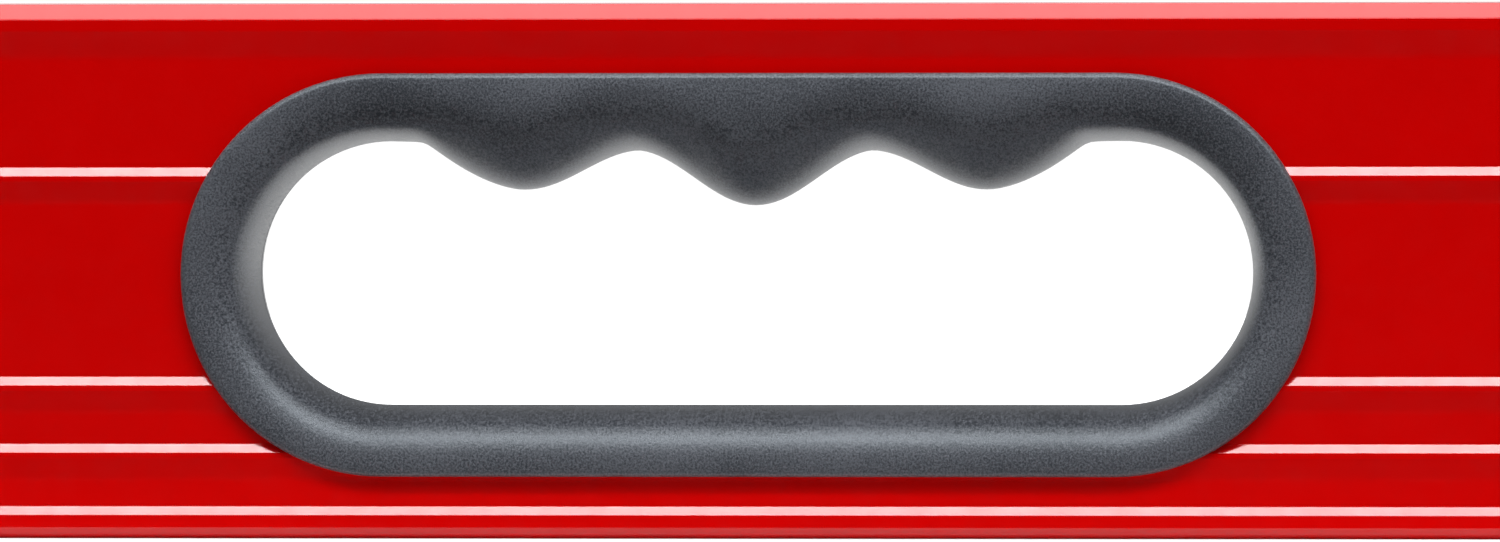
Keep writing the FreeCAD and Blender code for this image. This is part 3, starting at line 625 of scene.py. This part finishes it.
def make_liquid(mat, vial, facts):
    """The coloured liquid: it fills the barrel bore from end to end."""
    edge = LIQUID_EDGE
    end = facts["half"] - LIQUID_GAP
    profile = rounded_rim(end, barrel(end) - LIQUID_GAP, edge, 1)
    stretch = end - edge
    for k in range(1, 20):
        along = stretch * (1 - k / 10)
        profile.append((along, barrel(along) - LIQUID_GAP))
    profile += reversed(rounded_rim(-end, barrel(end) - LIQUID_GAP, edge, -1))
    name, place, axis = f"{vial}_liquid", facts["place"], facts["axis"]
    obj = turned(name, profile, place, axis, mat, "level", "vial_liquid")
    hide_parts(f"{vial}_fluid")


def make_round_bubble(mats, vial, facts):
    """The bubble at the top of an upright tube: it fills the bore's width. The liquid climbs its
    lower rim, which is painted darker as the shade that refraction gives a bubble's edge."""
    place, edge = facts["place"], ROUND_BUBBLE_EDGE
    top, low = facts["half"] - ROUND_BUBBLE_TOP, facts["half"] - ROUND_BUBBLE_LOW
    profile = rounded_rim(top, BUBBLE_R, edge, 1)
    profile += reversed(rounded_rim(low, BUBBLE_R, edge, -1))
    name, axis, body = f"{vial}_air", facts["axis"], facts["body"]
    obj = turned(name, profile, place, axis, mats[0], body, "vial_air")
    obj.data.materials.append(mats[1])
    # The faces round the lower rim take the darker rim colour: painted shade at the bubble's edge,
    # where the liquid climbs it.
    for face in obj.data.polygons:
        up = face.center.z / MM - place[2]
        if up < low + edge * 0.7 and abs(face.normal.z) < 0.98:
            face.material_index = 1
    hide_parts(f"{vial}_bubble")


def long_bubble_point(share, turn, sunk):
    """A point of the long bubble: its skin lies on the bore's wall, and its underside sinks
    towards the bore's axis."""
    x = LONG_BUBBLE_HALF * share * math.cos(turn)
    lean = LONG_BUBBLE_LEAN * share * math.sin(turn)
    radius = BUBBLE_R - (LONG_BUBBLE_DEPTH * math.sqrt(1 - share ** 2) if sunk else 0.0)
    return x, radius * math.sin(lean), radius * math.cos(lean)


def make_long_bubble(mats, vial, facts):
    """The oval bubble of the horizontal tube. Where the liquid climbs it, its rim is painted darker
    as the shade that refraction gives a bubble's edge.
    """
    rows, steps = 20, 72
    shares = [math.sin(math.pi / 2 * i / rows) for i in range(rows + 1)]
    rings = [(share, False) for share in shares[1:]] + [(share, True) for share in shares[-2:0:-1]]
    verts = [long_bubble_point(0.0, 0.0, False)]
    for share, sunk in rings:
        verts += [long_bubble_point(share, 2 * math.pi * k / steps, sunk) for k in range(steps)]
    verts.append(long_bubble_point(0.0, 0.0, True))
    faces = [(0, 1 + k, 1 + (k + 1) % steps) for k in range(steps)]
    for i in range(len(rings) - 1):
        a, b = 1 + i * steps, 1 + (i + 1) * steps
        faces += [(a + k, b + k, b + (k + 1) % steps, a + (k + 1) % steps) for k in range(steps)]
    last, foot = len(verts) - 1, len(verts) - 1 - steps
    faces += [(last, foot + (k + 1) % steps, foot + k) for k in range(steps)]
    verts = [tuple(p + q for p, q in zip(facts["place"], v)) for v in verts]
    obj = make_mesh(f"{vial}_air", verts, faces, mats[0], facts["body"], "vial_air", crease=50)
    obj.data.materials.append(mats[1])
    # The outer rows take the darker rim colour: painted shade at the bubble's edge, where the
    # liquid climbs it.
    shaded_rim_rows = sum(share > SHADED_RIM_SHARE for share in shares)
    first = steps * (rows - shaded_rim_rows + 1)
    for face in obj.data.polygons[first:first + steps * (2 * shaded_rim_rows - 1)]:
        face.material_index = 1
    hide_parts(f"{vial}_bubble")


# ---------------------------------------------------------------- build

RED = powder_red()
GRIP = rubber("grip_rubber", (0.032, 0.035, 0.042), (0.126, 0.133, 0.151), 0.35, 4000, 0.00009,
              stretch=(1.0, 0.15, 1.0))
CORE = hard_plastic("core_plastic", (0.030, 0.031, 0.034), (0.038, 0.040, 0.043), 0.50)
CARRIER = hard_plastic("carrier_plastic", (0.024, 0.026, 0.030), (0.030, 0.032, 0.036), 0.40)
CAP = hard_plastic("cap_plastic", (0.020, 0.021, 0.024), (0.026, 0.027, 0.030), 0.42)
PLUG = hard_plastic("plug_plastic", (0.66, 0.67, 0.63), (0.74, 0.75, 0.71), 0.40)
REFLECTOR = hard_plastic("reflector_plastic", (0.80, 0.80, 0.77), (0.86, 0.86, 0.83), 0.55)
BUMPER = rubber("bumper_rubber", (0.012, 0.012, 0.014), (0.026, 0.026, 0.029), 0.60, 2600, 0.00005)
INK = hard_plastic("ring_ink", (0.006, 0.006, 0.007), (0.012, 0.012, 0.013), 0.30)
ACRYLIC = clear_plastic("clear_acrylic", (0.80, 0.86, 0.84), (0.88, 0.93, 0.91), 0.11)
LENS = clear_plastic("clear_lens", (0.84, 0.88, 0.86), (0.92, 0.95, 0.93), 0.13)
LIQUID = vial_liquid()
AIR = vial_air()
# The bubble's rim colour: the liquid's green, painted darker as the shade that refraction gives a
# bubble's edge.
PAINTED_RIM_SHADE = hard_plastic("meniscus_shade", (0.16, 0.30, 0.010), (0.20, 0.36, 0.015), 0.12)

MATERIAL_OF = {
    "vial_block": ACRYLIC,
    "rings": INK,
    "plug": PLUG,
    "reflector": REFLECTOR,
    "top_lens": LENS,
    "carrier": CARRIER,
    "cap_left_core": CAP,
    "cap_right_core": CAP,
    "bumper": BUMPER,
    "_core": CORE,
}

PROFILE = make_profile(RED)
GRIPS = [make_grip(GRIP, side, face) for side in SIDES for face in FACES]
for vial, facts in VIALS.items():
    make_liquid(LIQUID, vial, facts)
    make_bubble = make_long_bubble if facts["axis"] == "x" else make_round_bubble
    make_bubble((AIR, PAINTED_RIM_SHADE), vial, facts)

for name, node in NODES.items():
    if node.hide_render:
        continue
    mat = next(m for part, m in MATERIAL_OF.items() if part in name)
    node.data.materials.clear()
    node.data.materials.append(mat)

# ---------------------------------------------------------------- stage, light and camera


def area_light(name, place, target, width, depth, power, colour):
    """A soft rectangular light that the camera doesn't see."""
    data = bpy.data.lights.new(name, "AREA")
    data.shape = "RECTANGLE"
    data.size, data.size_y, data.energy, data.color = width, depth, power, colour
    light = bpy.data.objects.new(name, data)
    light.visible_camera = False
    bpy.context.scene.collection.objects.link(light)
    light.location = place
    light.rotation_euler = (Vector(target) - Vector(place)).to_track_quat("-Z", "Y").to_euler()
    return light


def light_only(light, pieces):
    """Limits a light to some of the pieces."""
    lit = bpy.data.collections.new(f"{light.name}_lit")
    for piece in pieces:
        lit.objects.link(piece)
    light.light_linking.receiver_collection = lit


def make_floor():
    """A plain pale floor. Only right under and behind the level does it throw much light back,
    and in reflections all but a narrow band beside the level is black."""
    mat, tree, shader = new_material("pale_floor")
    coords = object_coords(tree)
    x, y, _ = split_axes(tree, coords)
    aside, beside = calculate(tree, "ABSOLUTE", x), calculate(tree, "ABSOLUTE", y)
    mottle = ramp(tree, noise(tree, coords, 3, 3), 0.2, 0.8)
    in_front = mix_colour(tree, mottle, grey(0.41), grey(0.44))
    lit = mix_colour(tree, ramp(tree, y, -0.024, -0.014), in_front, grey(0.95))
    close = ramp(tree, beside, 0.0145, 0.021, 1.0, 0.0)
    mirrored = mix_colour(tree, close, grey(0.0), grey(0.95))
    toned = mix_colour(tree, is_ray(tree, "Glossy"), lit, mirrored)
    even = mix_colour(tree, is_ray(tree, "Camera"), toned, grey(0.88))
    tree.links.new(even, shader.inputs["Base Color"])
    # To the camera, the floor fades to the white of the backdrop away from the level.
    away = calculate(
        tree, "MAXIMUM", ramp(tree, aside, 0.45, 0.9), ramp(tree, beside, 0.06, 0.24)
    )
    glow = calculate(tree, "MULTIPLY", away, is_ray(tree, "Camera"))
    tree.links.new(glow, shader.inputs["Emission Strength"])
    shader.inputs["Emission Color"].default_value = WHITE
    set_inputs(shader, Roughness=0.9)
    shader.inputs["Specular IOR Level"].default_value = 0.0
    half, before, behind = 1.5, -0.30, 1.20
    mesh = bpy.data.meshes.new("floor")
    mesh.from_pydata(
        [(-half, before, 0), (half, before, 0), (half, behind, 0), (-half, behind, 0)],
        [], [(0, 1, 2, 3)],
    )
    mesh.materials.append(mat)
    floor = bpy.data.objects.new("floor", mesh)
    bpy.context.scene.collection.objects.link(floor)


def make_world():
    """White to the camera. The object sees a bright room low behind it and a dim room in front,
    which keeps flat front faces free of glare."""
    world = bpy.data.worlds.new("studio")
    bpy.context.scene.world = world
    world.use_nodes = True
    tree = world.node_tree
    background = tree.nodes["Background"]
    _, y, z = split_axes(tree, add(tree, "ShaderNodeTexCoord").outputs["Generated"])
    rear = ramp(tree, y, -0.25, 0.35, 0.0, 1.0)
    low = ramp(tree, z, 0.0, 0.35, 0.72, 0.10)
    seen = add(tree, "ShaderNodeMix", data_type="FLOAT")
    tree.links.new(is_ray(tree, "Camera"), seen.inputs["Factor"])
    tree.links.new(calculate(tree, "MULTIPLY_ADD", rear, low, 0.01), seen.inputs["A"])
    seen.inputs["B"].default_value = 1.05
    tree.links.new(seen.outputs["Result"], background.inputs["Strength"])
    background.inputs["Color"].default_value = WHITE


def make_camera():
    """Looks at the left grip from straight in front, a little from the right and from above."""
    azimuth, elevation, roll = math.radians(5.0), math.radians(1.1), math.radians(-0.105)
    distance, view_width = 2.5, 173.8 * MM
    target = Vector((-184.7 * MM, -WEB_Y * MM, 31.05 * MM))
    back = Vector((
        math.sin(azimuth) * math.cos(elevation),
        -math.cos(azimuth) * math.cos(elevation),
        math.sin(elevation),
    ))
    data = bpy.data.cameras.new("camera")
    data.sensor_width = 36.0
    data.lens = data.sensor_width * distance / view_width
    data.clip_start, data.clip_end = 0.01, 100.0
    camera = bpy.data.objects.new("camera", data)
    camera.location = target + back * distance
    camera.rotation_mode = "QUATERNION"
    camera.rotation_quaternion = (-back).to_track_quat("-Z", "Y") @ Quaternion((0, 0, 1), roll)
    bpy.context.scene.collection.objects.link(camera)
    bpy.context.scene.camera = camera


REAR_PIECES = [PROFILE] + [grip for grip in GRIPS if grip.name.endswith("_rear")]
REAR_PIECES += [
    node for name, node in NODES.items() if name.startswith("cap_") or name.endswith("carrier_rear")
]
NEUTRAL, COOL = (1, 1, 1), (0.93, 0.965, 1.0)
MIDDLE, TOP, UP = (0, 0, 0.03), (0, 0, 0.05), (0, 0.615, 1)
# Each light's name, place, aim, width, depth, power, colour and, if it's limited, its pieces
LIGHTS = [
    ("ledge_strip", (0, -0.66, 1.10), MIDDLE, 2.4, 0.12, 17.0, NEUTRAL, None),
    ("overhead_panel", (0, 0.05, 1.25), TOP, 2.4, 0.36, 13.0, NEUTRAL, None),
    ("rim_panel", (0, 0.615, 0.0005), UP, 1.6, 1.17, 6.9, NEUTRAL, GRIPS),
    ("rear_strip", (0, 0.66, 1.10), MIDDLE, 2.4, 0.12, 10.5, NEUTRAL, REAR_PIECES),
    ("rear_box", (0, 1.0, 1.2), MIDDLE, 2.2, 0.35, 6.2, NEUTRAL, REAR_PIECES),
    ("key_box", (0, -1.0, 1.2), MIDDLE, 2.2, 0.35, 11.0, COOL, None),
]

make_floor()
make_world()
for *settings, pieces in LIGHTS:
    lamp = area_light(*settings)
    if pieces is not None:
        light_only(lamp, pieces)
    if lamp.name == "rim_panel":
        lamp.visible_diffuse = False
make_camera()
bpy.context.scene.view_settings.view_transform = "Standard"
